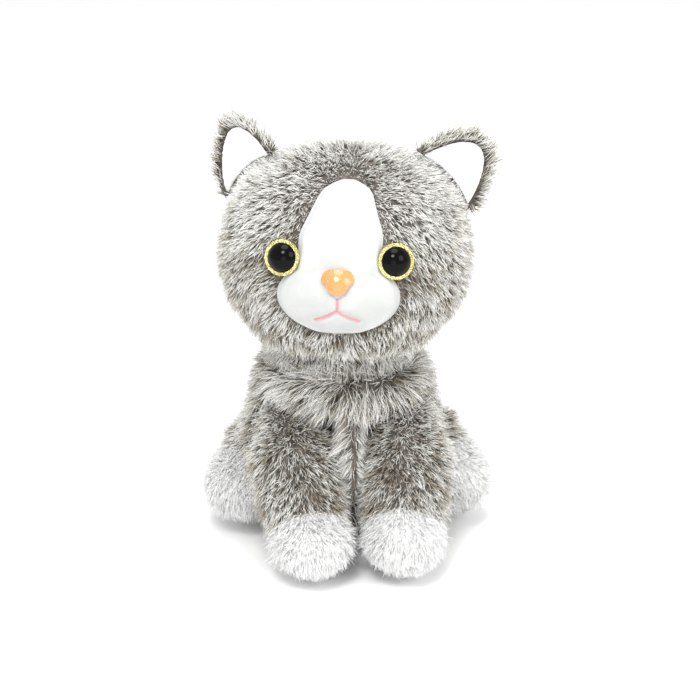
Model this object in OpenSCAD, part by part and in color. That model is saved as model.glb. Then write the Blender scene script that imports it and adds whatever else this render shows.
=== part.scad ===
// Sitting plush cat: sewn fabric covers over soft filling, in millimetres.
// It faces -Y and sits on Z = 0. Its own left side is +X.

/* [Fabric] */
// Thickness of the fur and short-nap fabrics
fabric_t = 1.2; // [1.0:0.1:1.5]
// Gap between bodies that move on one another
joint_gap = 0.5; // [0.4:0.1:0.7]

/* [Head] */
// Half of the head's width
head_half_w = 56; // [54:1:58]
// Half of the head's height and depth
head_r = 51; // [50:0.5:52]
// Height of the neck's pivot above the floor
neck_z = 98; // [97:1:100]
// How far the neck leans towards the right side
lean = 5; // [0:1:5]
// How far the head is turned towards the right side, in degrees
head_turn = 7.5; // [0:0.5:10]
// How far the head is tipped towards the left side, in degrees
head_tip = 1; // [0:0.5:5]

/* [Face] */
// Distance of each eye from the middle of the face
eye_x = 24.2; // [23:0.2:26]
// Diameter of the eye's glitter rim
eye_rim_d = 15.6; // [15:0.2:16.4]
// Diameter of the eye's dark dome
eye_dome_d = 12.8; // [12:0.2:13.4]
// Width of the nose
nose_w = 14; // [12:0.5:15]
// Half of the muzzle's width
muzzle_half_w = 26; // [25:0.5:27]

/* [Ears] */
// Width of an ear at its widest
ear_w = 38; // [34:1:42]
// Height of an ear above the middle of its root
ear_h = 28; // [26:1:32]
// How far the left ear leans out from upright, in degrees
left_ear_lean = 44; // [36:1:48]
// How far the right ear leans out from upright, in degrees
right_ear_lean = 20; // [14:1:26]
// How far the right ear's hollow is turned outwards, in degrees
right_ear_turn = 28; // [0:2:30]

/* [Body] */
// Radius of the torso at its widest
belly_r = 45.5; // [45:0.5:46]
// Radius of the front leg below the shoulder
leg_r = 21; // [20:0.5:21.5]
// Radius of the front paw
paw_r = 18; // [17.5:0.5:18]
// Radius of the thigh
thigh_r = 20; // [19:0.5:20.5]
// Radius of the hind foot
foot_r = 20.3; // [19.5:0.2:20.5]
// Radius of the tail
tail_r = 9.5; // [8.5:0.5:10]
// Length of the tail beyond its root
tail_len = 46; // [40:1:50]

/* [Hidden] */
$fn = 64;
arc_step = 7.5;
sew_gap = 0.1;
fill_gap = 0.2;
inner_t = fabric_t + fill_gap;
far = 200;

head_corner = 2.3;
torso_mid = [-lean * 0.8, 5];
belly_z = 46;
belly_drop = 50;
collar_z = 88;
collar_r = 35.2;
neck_at = [-lean, 4, neck_z];
neck_r = 34;
head_above_neck = [1.7, -3, 39];

muzzle_at = [0, -39.5, -5];
muzzle_r = 16;
muzzle_seam = [0.5, 1.5];
muzzle_start_y = -34;
blaze_start_y = -25.5;
blaze_lean = 2.6;
blaze_half = [[6, 42.5], [11, 38], [13.5, 32], [18.3, 21], [17.5, 13], [19, 6], [20, 0]];
eye_z = 11.7;
eye_turn = 17;
eye_tilt = 14;
eye_at = [eye_x, -sqrt(pow(skull_r(eye_x, 0), 2) - eye_z * eye_z), eye_z];
rim_t = 1.2;
rim_sink = 0.5;
dome_ball_r = 7.3;
shank_r = 1.6;
shank_len = 11;
washer_r = 6;
washer_t = 1.2;
washer_fit = 0.05;
washer_gap = 0.3;
rim_gap = 0.05;
room_end = 1;
room_top = 7;
eye_washer_z = -4.2;
nose_z = 4;
nose_tilt = asin((nose_z - muzzle_at.z) / muzzle_r);
nose_lift = 0.1;
nose_at = muzzle_at + (muzzle_r + nose_lift) * [0, -cos(nose_tilt), sin(nose_tilt)];
nose_waist = 0.17;
nose_flat = 0.78;
nose_ball_r = 10;
nose_rise = 3;
nose_washer_z = -6;
stitch_w = 1;
stitch_rise = 0.9;
mouth_top = [0, -3];
mouth_fork = [0, -8.6];
mouth_end = [9.7, -14];

ear_root = [41, 3, 33];
ear_taper = 0.25;
ear_clear = 2.4;
ear_curl_r = 60;
ear_back_t = 2.6;
lining_t = 1.4;
lining_edge = 3.5;

shoulder_r = 15.5;
shoulder_at = [27, -14, 58];
paw_at = [20.5, -48, 18.4];
paw_half_l = 20;
leg_len = norm(paw_at - shoulder_at);
leg_bulge = 18;
hem_at = leg_len - 7;
hem_r = 17.6;
room_rings = [1, 6];
room_lead = 1;
room_full_z = 12;
foot_room = 0.5;
tail_room = 1.5;
bay_middle_z = 30;
bay_back_x = 7.8;
bay_back_y = -12.5;
bay_front_x = 2.6;
bay_front_y = -30;
bay_floor_z = 22;
hip_at = [37, 21, 36];
foot_at = [47, 15.5, 21.2];
foot_half_l = 24;
foot_turn = 15;
tail_at = [0, 42, 13];
pouch_at = [-1, 6, 12.6];
pouch_r = 20;
pouch_half_h = 9;
pouch_t = 0.8;
belly_panel_at = [-1, 56];
belly_panel_half = [20, 33];
belly_panel_start_y = -24;
stitch_count = 8;
stitch_step = 4;
stitch_l = 6;

grey_fur = [0.55, 0.54, 0.52];
white_fur = [0.95, 0.95, 0.93];
white_nap = [0.97, 0.97, 0.96];
filling_white = [0.9, 0.9, 0.88];

// ---- Shared shapes ----

function sided(p, side) = [side * p.x, p.y, p.z];

// The same for the body, whose middle leans more the higher it is.
function leaned(p, side) = [side * p.x - lean * p.z / neck_z, p.y, p.z];

// The skull's radius about its side-to-side axis, at x from its middle.
function skull_r(x, inset) =
  (head_r - inset) * pow(1 - pow(abs(x) / (head_half_w - inset), head_corner), 1 / head_corner);

function ellipse_points(half_x, half_y) =
  [for (a = [0:arc_step:360 - arc_step]) [half_x * cos(a), half_y * sin(a)]];

// An egg-smooth solid turned about Z.
module oval(half_len, r) {
  rotate_extrude()
    polygon([for (a = [0:arc_step:180]) [r * sin(a), -half_len * cos(a)]]);
}

// An oval with its long axis along X.
module oval_x(half_len, r) {
  rotate([0, 90, 0]) oval(half_len, r);
}

// Puts +Z of the children on the line from a to b.
module along(a, b) {
  v = b - a;
  translate(a)
    rotate([0, acos(v.z / norm(v)), atan2(v.y, v.x)])
      children();
}

// Extrudes an outline in the XZ plane towards -Y, from the plane Y = start.
module forward_prism(start) {
  translate([0, start, 0])
    rotate([90, 0, 0])
      linear_extrude(far)
        children();
}

// ---- Head ----

// Places the head's own frame, whose origin is the middle of the head.
module head_frame() {
  translate(neck_at)
    rotate([0, head_tip, -head_turn])
      translate(head_above_neck)
        children();
}

module muzzle_bulge(inset) {
  translate(muzzle_at) oval_x(muzzle_half_w - inset, muzzle_r - inset);
}

// Fuller at its corners than an oval.
module skull_oval(inset) {
  half = head_half_w - inset;
  rotate([0, 90, 0])
    rotate_extrude()
      polygon([for (a = [0:arc_step:180]) let (x = -half * cos(a)) [skull_r(x, inset), x]]);
}

module neck_room(inset) {
  translate(-head_above_neck) sphere(neck_r + joint_gap + inset);
}

module head_solid(inset) {
  difference() {
    union() {
      skull_oval(inset);
      muzzle_bulge(inset);
    }
    neck_room(inset);
  }
}

module head_shell() {
  difference() {
    head_solid(0);
    head_solid(fabric_t);
  }
}

// The white blaze up the forehead, with the muzzle's oval below it.
module face_outline_prism(grow) {
  mirrored = [for (i = [len(blaze_half) - 1:-1:0]) [-blaze_half[i].x, blaze_half[i].y]];
  forward_prism(blaze_start_y)
    polygon([for (p = concat(blaze_half, mirrored))
      [p.x + sign(p.x) * grow + blaze_lean * pow(p.y / blaze_half[0].y, 2), p.y]]);
  forward_prism(muzzle_start_y)
    translate([0, muzzle_at.z])
      polygon(ellipse_points(
        muzzle_half_w + muzzle_seam.x + grow, muzzle_r + muzzle_seam.y + grow
      ));
}

module eye_frame(side) {
  translate(sided(eye_at, side)) rotate([90 - eye_tilt, 0, side * eye_turn]) children();
}

module nose_frame() {
  translate(nose_at) rotate([90 - nose_tilt, 0, 0]) children();
}

// The hole through the cover and filling for a part's shank, with a recess for its rim.
module shank_room(rim_r) {
  translate([0, 0, -shank_len - room_end]) cylinder(h = shank_len + room_end + room_top, r = shank_r + sew_gap);
  translate([0, 0, -rim_sink - rim_gap]) cylinder(h = room_top, r = rim_r + sew_gap);
}

module washer_room(z) {
  translate([0, 0, z - washer_gap]) cylinder(h = washer_t + 2 * washer_gap, r = washer_r + washer_gap);
}

module washer(z) {
  color([0.93, 0.93, 0.9])
    translate([0, 0, z])
      difference() {
        cylinder(h = washer_t, r = washer_r);
        translate([0, 0, -1]) cylinder(h = washer_t + 2, r = shank_r + washer_fit);
      }
}

module all_shank_rooms() {
  for (side = [-1, 1]) eye_frame(side) shank_room(eye_rim_d / 2);
  nose_frame() shank_room(0.1);
}

module head_cover() {
  color(grey_fur)
    head_frame()
      difference() {
        head_shell();
        face_outline_prism(sew_gap);
        for (side = [-1, 1]) eye_frame(side) shank_room(eye_rim_d / 2);
      }
}

module face_panel() {
  color(white_nap)
    head_frame()
      difference() {
        intersection() {
          head_shell();
          face_outline_prism(0);
        }
        all_shank_rooms();
      }
}

module head_filling() {
  color(filling_white)
    head_frame()
      difference() {
        head_solid(inner_t);
        all_shank_rooms();
        for (side = [-1, 1]) eye_frame(side) washer_room(eye_washer_z);
        nose_frame() washer_room(nose_washer_z);
      }
}

// A thread layer on the muzzle's skin, cut to one upright stitch line and two branches.
module mouth_stitches() {
  color([0.93, 0.5, 0.55])
    head_frame()
      intersection() {
        difference() {
          muzzle_bulge(-stitch_rise);
          muzzle_bulge(-sew_gap);
        }
        forward_prism(muzzle_at.y)
          union() {
            thread_line(mouth_top, mouth_fork);
            for (side = [-1, 1]) thread_line(mouth_fork, [side * mouth_end.x, mouth_end.y]);
          }
      }
}

module thread_line(a, b) {
  v = b - a;
  translate(a)
    rotate(atan2(v.y, v.x))
      translate([-stitch_w / 2, -stitch_w / 2])
        square([norm(v) + stitch_w, stitch_w]);
}

// The dark dome and its shank are one moulding.
module eye(side) {
  dome_r = eye_dome_d / 2;
  color([0.02, 0.02, 0.02])
    head_frame()
      eye_frame(side) {
        translate([0, 0, rim_t - rim_sink])
          intersection() {
            translate([0, 0, -sqrt(pow(dome_ball_r, 2) - pow(dome_r, 2))]) sphere(dome_ball_r);
            cylinder(h = dome_ball_r, r = dome_r + 1);
          }
        translate([0, 0, -shank_len]) cylinder(h = shank_len + rim_t, r = shank_r);
      }
}

module eye_rim(side) {
  color([0.85, 0.8, 0.45])
    head_frame()
      eye_frame(side)
        translate([0, 0, -rim_sink])
          difference() {
            cylinder(h = rim_t, r = eye_rim_d / 2);
            translate([0, 0, -1]) cylinder(h = rim_t + 2, r = shank_r + washer_fit);
          }
}

module eye_washer(side) {
  head_frame() eye_frame(side) washer(eye_washer_z);
}

// A rounded triangle with its point down, domed at the front, on a shank.
module nose() {
  color([1, 0.68, 0.4])
    head_frame()
      nose_frame() {
        intersection() {
          linear_extrude(nose_rise)
            polygon([for (a = [0:arc_step:360 - arc_step])
              nose_w / 2 * (1 + nose_waist * sin(3 * a)) * [cos(a), nose_flat * sin(a)]]);
          translate([0, 0, nose_rise - nose_ball_r]) sphere(nose_ball_r);
        }
        translate([0, 0, -shank_len]) cylinder(h = shank_len + 1, r = shank_r);
      }
}

module nose_washer() {
  head_frame() nose_frame() washer(nose_washer_z);
}

// ---- Ears ----

// The ear's frame: Z up the ear from the middle of its base, and the hollow faces -Y.
module ear_frame(side) {
  lean_out = side > 0 ? left_ear_lean : right_ear_lean;
  turn_out = side > 0 ? 0 : right_ear_turn;
  head_frame()
    translate(sided(ear_root, side))
      rotate([0, side * lean_out, 0])
        rotate([0, 0, side * turn_out])
          children();
}

// A curved sheet between two depths behind the hollow's face, narrowing to a rounded tip.
module ear_sheet(front, back, edge) {
  intersection() {
    translate([0, -ear_curl_r, 0])
      difference() {
        cylinder(h = far, r = ear_curl_r + back, center = true);
        cylinder(h = far + 1, r = ear_curl_r + front, center = true);
      }
    forward_prism(far / 2)
      polygon([for (p = ellipse_points(ear_w / 2 - edge, ear_h - edge))
        [p.x * (1 - ear_taper * max(0, p.y) / ear_h), p.y]]);
  }
}

module ear_cut_to_head(side) {
  difference() {
    ear_frame(side) children();
    head_frame() skull_oval(-ear_clear);
  }
}

module ear_back(side) {
  color(grey_fur) ear_cut_to_head(side) ear_sheet(0, ear_back_t, 0);
}

module ear_lining(side) {
  color(white_nap) ear_cut_to_head(side) ear_sheet(-sew_gap - lining_t, -sew_gap, lining_edge);
}

// ---- Neck ----

module neck_ball(inset) {
  difference() {
    translate(neck_at) sphere(neck_r - inset);
    translate([-far, -far, collar_z + joint_gap - far]) cube([2 * far, 2 * far, far]);
  }
}

module neck_cover() {
  color(grey_fur)
    difference() {
      neck_ball(0);
      translate(neck_at) sphere(neck_r - fabric_t);
    }
}

module neck_filling() {
  color(filling_white) neck_ball(inner_t);
}

// ---- Torso ----

function torso_r(z) = z < belly_z
  ? belly_r * sqrt(1 - pow((belly_z - z) / belly_drop, 2))
  : collar_r + (belly_r - collar_r) * cos(90 * (z - belly_z) / (collar_z - belly_z));

module torso_lathe(inset) {
  steps = 20;
  rise = (collar_z - 2 * inset) / steps;
  translate([torso_mid.x, torso_mid.y, 0])
    rotate_extrude()
      polygon(concat(
        [[0, inset]],
        [for (i = [0:steps]) [torso_r(inset + i * rise) - inset, inset + i * rise]],
        [[0, collar_z - inset]]
      ));
}

// The front leg's radius from the shoulder's middle down to its widest place.
function leg_swell(z) = shoulder_r + (leg_r - shoulder_r) * sin(90 * z / leg_bulge);

// The space beside the belly that a front leg needs as it swings forward from rest. Its
// rings are as wide as the leg a little further down, so the leg's bulge stays clear of it.
module leg_room(side, inset) {
  grow = joint_gap + inset;
  middle_x = leaned([0, 0, bay_middle_z], 1).x;
  s = leaned(shoulder_at, side);
  translate(s) sphere(shoulder_r + grow);
  along(s, leaned(paw_at, side))
    rotate_extrude()
      polygon(concat(
        [[0, room_rings[0]]],
        [for (z = room_rings) [leg_swell(z + room_lead) + grow, z]],
        [[leg_r + grow, room_full_z], [leg_r + grow, leg_len], [0, leg_len]]
      ));
  translate([middle_x, 0, bay_floor_z])
    linear_extrude(shoulder_at.z + shoulder_r + grow + 1 - bay_floor_z)
      polygon([
        [side * (bay_back_x - grow), bay_back_y + grow],
        [side * (bay_front_x - grow), bay_front_y],
        [side * (bay_front_x - grow), -far],
        [side * far, -far],
        [side * far, bay_back_y + grow]
      ]);
}

module torso_solid(inset) {
  grow = joint_gap + inset;
  difference() {
    torso_lathe(inset);
    for (side = [-1, 1]) {
      leg_room(side, inset);
      thigh_ball(side, -grow, outward_seam(side));
      foot_oval(side, -grow - foot_room);
    }
    translate(tail_at) sphere(tail_r + tail_room + grow);
  }
}

module torso_shell() {
  difference() {
    torso_solid(0);
    torso_solid(fabric_t);
  }
}

module belly_prism(grow) {
  translate([belly_panel_at.x, 0, belly_panel_at.y])
    forward_prism(belly_panel_start_y)
      polygon(ellipse_points(belly_panel_half.x + grow, belly_panel_half.y + grow));
}

module torso_cover() {
  color(grey_fur)
    difference() {
      torso_shell();
      belly_prism(sew_gap);
    }
}

module belly_panel() {
  color([0.5, 0.48, 0.46])
    intersection() {
      torso_shell();
      belly_prism(0);
    }
}

module pouch_oval(inset) {
  translate(pouch_at) oval(pouch_half_h - inset, pouch_r - inset);
}

module torso_filling() {
  color(filling_white)
    difference() {
      torso_solid(inner_t);
      pouch_oval(-fill_gap);
    }
}

module pellet_pouch() {
  color([0.85, 0.85, 0.82])
    difference() {
      pouch_oval(0);
      pouch_oval(pouch_t);
    }
}

module pellet_fill() {
  color([0.8, 0.8, 0.78]) pouch_oval(pouch_t + fill_gap);
}

// Hand stitches that close the back after filling.
module closing_stitches() {
  color([0.4, 0.38, 0.36])
    intersection() {
      difference() {
        torso_lathe(-stitch_rise);
        torso_lathe(-sew_gap);
      }
      for (i = [0:stitch_count - 1])
        translate([torso_mid.x - stitch_l / 2, 0, belly_z + stitch_step * i])
          cube([stitch_l, far, stitch_w]);
    }
}

// ---- Front legs ----

module leg_lathe(inset) {
  narrow = shoulder_r - inset;
  rotate_extrude()
    polygon(concat(
      [for (a = [0:arc_step:90]) narrow * [sin(a), -cos(a)]],
      [for (a = [arc_step:arc_step:90]) [leg_swell(leg_bulge * a / 90) - inset, leg_bulge * a / 90]],
      [for (a = [arc_step * 2:arc_step * 2:90])
        [leg_r - inset - (leg_r - hem_r) * (1 - cos(a)), leg_bulge + (hem_at - leg_bulge) * a / 90]],
      [[0, hem_at]]
    ));
}

module leg_solid(side, inset) {
  along(leaned(shoulder_at, side), leaned(paw_at, side)) leg_lathe(inset);
}

module paw_oval(side, inset) {
  translate(leaned(paw_at, side)) rotate([90, 0, 0]) oval(paw_half_l - inset, paw_r - inset);
}

module front_leg_cover(side) {
  color(grey_fur)
    difference() {
      leg_solid(side, 0);
      leg_solid(side, fabric_t);
      paw_oval(side, -sew_gap);
    }
}

module front_paw_cover(side) {
  color(white_fur)
    difference() {
      paw_oval(side, 0);
      paw_oval(side, fabric_t);
      leg_solid(side, fabric_t);
    }
}

module front_leg_filling(side) {
  color(filling_white) {
    leg_solid(side, inner_t);
    paw_oval(side, inner_t);
  }
}

// ---- Hind legs ----

function outward_seam(side) = 90 - 90 * side;

// Its poles point forward and back, and turn is the angle of its seam about them.
module thigh_ball(side, inset, turn) {
  translate(leaned(hip_at, side)) rotate([90, turn, 0]) sphere(thigh_r - inset);
}

module foot_oval(side, inset) {
  translate(leaned(foot_at, side))
    rotate([90, 0, side * foot_turn])
      oval(foot_half_l - inset, foot_r - inset);
}

module thigh_cover(side) {
  color(grey_fur)
    difference() {
      thigh_ball(side, 0, outward_seam(side));
      thigh_ball(side, fabric_t, outward_seam(side));
      foot_oval(side, -sew_gap);
    }
}

module foot_cover(side) {
  color(white_fur)
    difference() {
      foot_oval(side, 0);
      foot_oval(side, fabric_t);
      thigh_ball(side, fabric_t, outward_seam(side));
    }
}

module hind_leg_filling(side) {
  color(filling_white) {
    thigh_ball(side, inner_t, 0);
    foot_oval(side, inner_t);
  }
}

// ---- Tail ----

module tail_solid(inset) {
  translate(tail_at) sphere(tail_r - inset);
  translate(tail_at) rotate([-90, 0, 0]) cylinder(h = tail_len, r = tail_r - inset);
  translate(tail_at + [0, tail_len, 0]) sphere(tail_r - inset);
}

module tail_cover() {
  color(grey_fur)
    difference() {
      tail_solid(0);
      tail_solid(fabric_t);
    }
}

module tail_filling() {
  color(filling_white) tail_solid(inner_t);
}

// ---- Nodes ----

head_cover();
face_panel();
head_filling();
mouth_stitches();
eye(1);  // left_eye
eye(-1);  // right_eye
eye_rim(1);  // left_eye_rim
eye_rim(-1);  // right_eye_rim
eye_washer(1);  // left_eye_washer
eye_washer(-1);  // right_eye_washer
nose();
nose_washer();
ear_back(1);  // left_ear_back
ear_back(-1);  // right_ear_back
ear_lining(1);  // left_ear_lining
ear_lining(-1);  // right_ear_lining
neck_cover();
neck_filling();
torso_cover();
belly_panel();
torso_filling();
pellet_pouch();
pellet_fill();
closing_stitches();
front_leg_cover(1);  // left_front_leg_cover
front_leg_cover(-1);  // right_front_leg_cover
front_paw_cover(1);  // left_front_paw_cover
front_paw_cover(-1);  // right_front_paw_cover
front_leg_filling(1);  // left_front_leg_filling
front_leg_filling(-1);  // right_front_leg_filling
thigh_cover(1);  // left_thigh_cover
thigh_cover(-1);  // right_thigh_cover
foot_cover(1);  // left_foot_cover
foot_cover(-1);  // right_foot_cover
hind_leg_filling(1);  // left_hind_leg_filling
hind_leg_filling(-1);  // right_hind_leg_filling
tail_cover();
tail_filling();
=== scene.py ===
"""The looks of the plush cat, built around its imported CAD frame. Metres; it faces -Y."""

import math

import bmesh
import bpy
import numpy as np
from mathutils import Euler, Matrix, Vector
from mathutils.kdtree import KDTree


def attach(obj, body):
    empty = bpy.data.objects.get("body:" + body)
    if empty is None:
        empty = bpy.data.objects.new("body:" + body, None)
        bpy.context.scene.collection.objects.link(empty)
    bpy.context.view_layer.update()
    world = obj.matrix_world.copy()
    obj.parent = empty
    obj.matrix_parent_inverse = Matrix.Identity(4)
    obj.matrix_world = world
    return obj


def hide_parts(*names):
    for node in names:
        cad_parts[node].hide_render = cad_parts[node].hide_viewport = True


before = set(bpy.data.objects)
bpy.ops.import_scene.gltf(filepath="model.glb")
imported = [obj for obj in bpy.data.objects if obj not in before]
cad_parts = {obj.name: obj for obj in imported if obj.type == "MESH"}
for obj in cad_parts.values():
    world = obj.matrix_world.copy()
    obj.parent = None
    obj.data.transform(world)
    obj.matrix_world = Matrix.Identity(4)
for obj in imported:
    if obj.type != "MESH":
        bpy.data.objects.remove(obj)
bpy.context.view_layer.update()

MM = 0.001
scene = bpy.context.scene

# ---- The CAD's own places, in millimetres and degrees as part.scad has them ----

NECK = np.array([-5.0, 4.0, 98.0])
HEAD_ABOVE_NECK = Vector((1.7, -3, 39))
HEAD_TIP, HEAD_TURN = 1, 7.5
HEAD_HALF_W, HEAD_R, HEAD_CORNER = 56.0, 51.0, 2.3
MUZZLE = np.array([0.0, -39.5, -5.0])
MUZZLE_HALF_W, MUZZLE_R = 26.0, 16.0
# the blaze's half width and height, from its tip down
BLAZE = [(6, 42.5), (11, 38), (13.5, 32), (18.3, 21), (17.5, 13), (19, 6), (20, 0)]
BLAZE_LEAN = 2.6
EYE_X, EYE_Z = 24.2, 11.7
NOSE_Z = 4.0
MOUTH_TOP, MOUTH_FORK, MOUTH_END = (0, -3.4), (0, -8.6), (9.7, -14)
EAR_ROOT = Vector((41, 3, 33))
EAR_LEAN, EAR_TURN = {1: 44, -1: 20}, {1: 0, -1: 28}
EAR_HALF_W, EAR_H, EAR_TAPER = 19.0, 28.0, 0.25
LEAN = 5 / 98  # the toy leans this much to one side
SHOULDER, PAW = (27, -14, 58), (20.5, -48, 18.4)
HIP, FOOT = (37, 21, 36), (47, 15.5, 21.2)
PAW_SIZE, FOOT_SIZE = (18.0, 20.0), (20.3, 24.0)
FOOT_TURN = 15
TAIL = np.array([0.0, 42.0, 13.0])
TORSO_MID = np.array([-4.0, 5.0])
BELLY_AT, BELLY_HALF = (-1.0, 56.0), (20.0, 33.0)


def leaned(p, side):
    """An upright toy's place on its left, moved to a side (1 or -1) of the leaning toy."""
    return np.array([side * p[0] - LEAN * p[2], p[1], p[2]], float)


def rotation(x=0, y=0, z=0):
    return Euler([math.radians(a) for a in (x, y, z)], "XYZ").to_matrix().to_4x4()


HEAD = (
    Matrix.Translation(Vector(NECK))
    @ rotation(z=-HEAD_TURN)
    @ rotation(y=HEAD_TIP)
    @ Matrix.Translation(HEAD_ABOVE_NECK)
)


def placed(p, m):
    """Points in mm moved by a matrix in mm."""
    a = np.array(m)
    return np.asarray(p, float) @ a[:3, :3].T + a[:3, 3]


def unplaced(p, m):
    return placed(p, m.inverted())


def turned(v, m):
    return np.asarray(v, float) @ np.array(m)[:3, :3].T


# ---- Numbers ----


def unit(v):
    return v / np.maximum(np.linalg.norm(v, axis=-1, keepdims=True), 1e-9)


def smooth(x, lo, hi):
    t = np.clip((x - lo) / (hi - lo), 0, 1)
    return t * t * (3 - 2 * t)


def waves(p, size, seed, count=9):
    """A smooth field of about -1 to 1 over points in mm, with lumps about size mm across."""
    rng = np.random.default_rng(seed)
    k = unit(rng.normal(size=(count, 3))) * (math.pi / size) * rng.uniform(0.7, 1.4, (count, 1))
    return np.sin(p @ k.T + rng.uniform(0, 2 * math.pi, count)).sum(1) / math.sqrt(count)


# ---- Meshes ----


def coords(mesh):
    a = np.empty(len(mesh.vertices) * 3, np.float32)
    mesh.vertices.foreach_get("co", a)
    return a.reshape(-1, 3).astype(float)


def set_coords(mesh, a):
    mesh.vertices.foreach_set("co", np.ascontiguousarray(a, np.float32).ravel())
    mesh.update()


def normals(mesh):
    a = np.empty(len(mesh.vertices) * 3, np.float32)
    mesh.vertex_normals.foreach_get("vector", a)
    return a.reshape(-1, 3).astype(float)


def new_object(name, mesh):
    o = bpy.data.objects.new(name, mesh)
    scene.collection.objects.link(o)
    return o


def mesh_from(name, verts, faces, sizes=None):
    """A mesh from arrays: verts in metres, faces as rows of one size, or flat with sizes."""
    mesh = bpy.data.meshes.new(name)
    verts = np.asarray(verts, np.float32)
    if sizes is None:
        faces = np.asarray(faces, np.int32)
        sizes = np.full(len(faces), faces.shape[1], np.int32)
    flat = np.asarray(faces, np.int32).ravel()
    mesh.vertices.add(len(verts))
    mesh.vertices.foreach_set("co", verts.ravel())
    mesh.loops.add(len(flat))
    mesh.loops.foreach_set("vertex_index", flat)
    mesh.polygons.add(len(sizes))
    starts = np.concatenate([[0], np.cumsum(sizes)[:-1]])
    mesh.polygons.foreach_set("loop_start", starts.astype(np.int32))
    mesh.update(calc_edges=True)
    mesh.shade_smooth()
    return mesh


def applied(mesh, *steps):
    """The mesh after a chain of modifiers, each (type, {setting: value})."""
    o = new_object("work", mesh)
    for kind, settings in steps:
        m = o.modifiers.new(kind, kind)
        for k, v in settings.items():
            setattr(m, k, v)
    bpy.context.view_layer.update()
    dg = bpy.context.evaluated_depsgraph_get()
    out = bpy.data.meshes.new_from_object(o.evaluated_get(dg))
    bpy.data.objects.remove(o)
    return out


def biggest_island(mesh):
    """The mesh with only its largest connected part left."""
    bm = bmesh.new()
    bm.from_mesh(mesh)
    left, best = set(bm.verts), set()
    while left:
        island, edge = set(), [left.pop()]
        while edge:
            v = edge.pop()
            island.add(v)
            for e in v.link_edges:
                w = e.other_vert(v)
                if w in left:
                    left.discard(w)
                    edge.append(w)
        if len(island) > len(best):
            best = island
    bmesh.ops.delete(bm, geom=[v for v in bm.verts if v not in best], context="VERTS")
    bm.to_mesh(mesh)
    bm.free()
    return mesh


def remesh(voxel):
    """An applied() step: a voxel remesh, voxel in mm."""
    return ("REMESH", {"mode": "VOXEL", "voxel_size": voxel * MM})


def soften(times):
    return ("SMOOTH", {"factor": 0.5, "iterations": times})


FIRST_VOXEL = 2
HOLE_CLOSING = 2.6  # a form grows by this, its holes are remeshed shut, and it shrinks back


def closed_form(node, voxel, deeper):
    """A filling's outer surface as an even closed mesh, deeper mm inside it, with no holes."""
    mesh = applied(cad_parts[node].data.copy(), remesh(FIRST_VOXEL))
    set_coords(mesh, coords(mesh) + normals(mesh) * HOLE_CLOSING * MM)
    mesh = biggest_island(applied(mesh, remesh(voxel)))
    set_coords(mesh, coords(mesh) - normals(mesh) * (HOLE_CLOSING + deeper) * MM)
    return applied(mesh, soften(3))


# ---- Materials ----


def srgb(r, g, b):
    def one(c):
        c /= 255
        return c / 12.92 if c <= 0.04045 else ((c + 0.055) / 1.055) ** 2.4

    return (one(r), one(g), one(b), 1)


class Nodes:
    """A short way to write a node material."""

    def __init__(self, name):
        self.m = bpy.data.materials.new(name)
        self.m.use_nodes = True
        self.t = self.m.node_tree
        self.bsdf = self.t.nodes["Principled BSDF"]

    def add(self, kind, inputs=(), **settings):
        n = self.t.nodes.new("ShaderNode" + kind)
        for k, v in settings.items():
            setattr(n, k, v)
        for k, v in dict(inputs).items():
            self.put(n.inputs[k], v)
        return n

    def put(self, socket, v):
        if isinstance(v, bpy.types.NodeSocket):
            self.t.links.new(v, socket)
        else:
            socket.default_value = v

    def ramp(self, fac, stops):
        n = self.add("ValToRGB", {"Fac": fac})
        e = n.color_ramp.elements
        e[0].position, e[0].color = stops[0]
        e[1].position, e[1].color = stops[-1]
        for at, colour in stops[1:-1]:
            e.new(at).color = colour
        return n.outputs["Color"]

    def range(self, fac, lo, hi, to_lo=0.0, to_hi=1.0):
        ends = {"From Min": lo, "From Max": hi, "To Min": to_lo, "To Max": to_hi}
        return self.add("MapRange", {"Value": fac, **ends}).outputs[0]

    def mix(self, fac, a, b):
        n = self.add("Mix", {"Factor": fac}, data_type="RGBA")
        self.put(n.inputs[6], a)  # the colour sockets, which share their names with others
        self.put(n.inputs[7], b)
        return n.outputs[2]

    def noise(self, scale, detail):
        where = self.add("TexCoord").outputs["Object"]
        n = self.add("TexNoise", {"Vector": where, "Scale": scale, "Detail": detail})
        return n.outputs["Fac"]

    def flakes(self, scale):
        where = self.add("TexCoord").outputs["Object"]
        return self.add("TexVoronoi", {"Vector": where, "Scale": scale})

    def rough(self, scale, detail, lo, hi):
        """A roughness between lo and hi that follows a noise."""
        return self.range(self.noise(scale, detail), 0.3, 0.7, lo, hi)

    def bump(self, height, strength, distance):
        n = self.add("Bump", {"Height": height, "Strength": strength, "Distance": distance})
        self.put(self.bsdf.inputs["Normal"], n.outputs[0])

    def set(self, **values):
        """Sets the shader's own sockets, with _ for a space in a socket's name."""
        for k, v in values.items():
            self.put(self.bsdf.inputs[k.replace("_", " ")], v)


STRAND_STOPS = (0.02, 0.3, 0.62, 0.95)  # where along a strand its four colours sit


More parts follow.
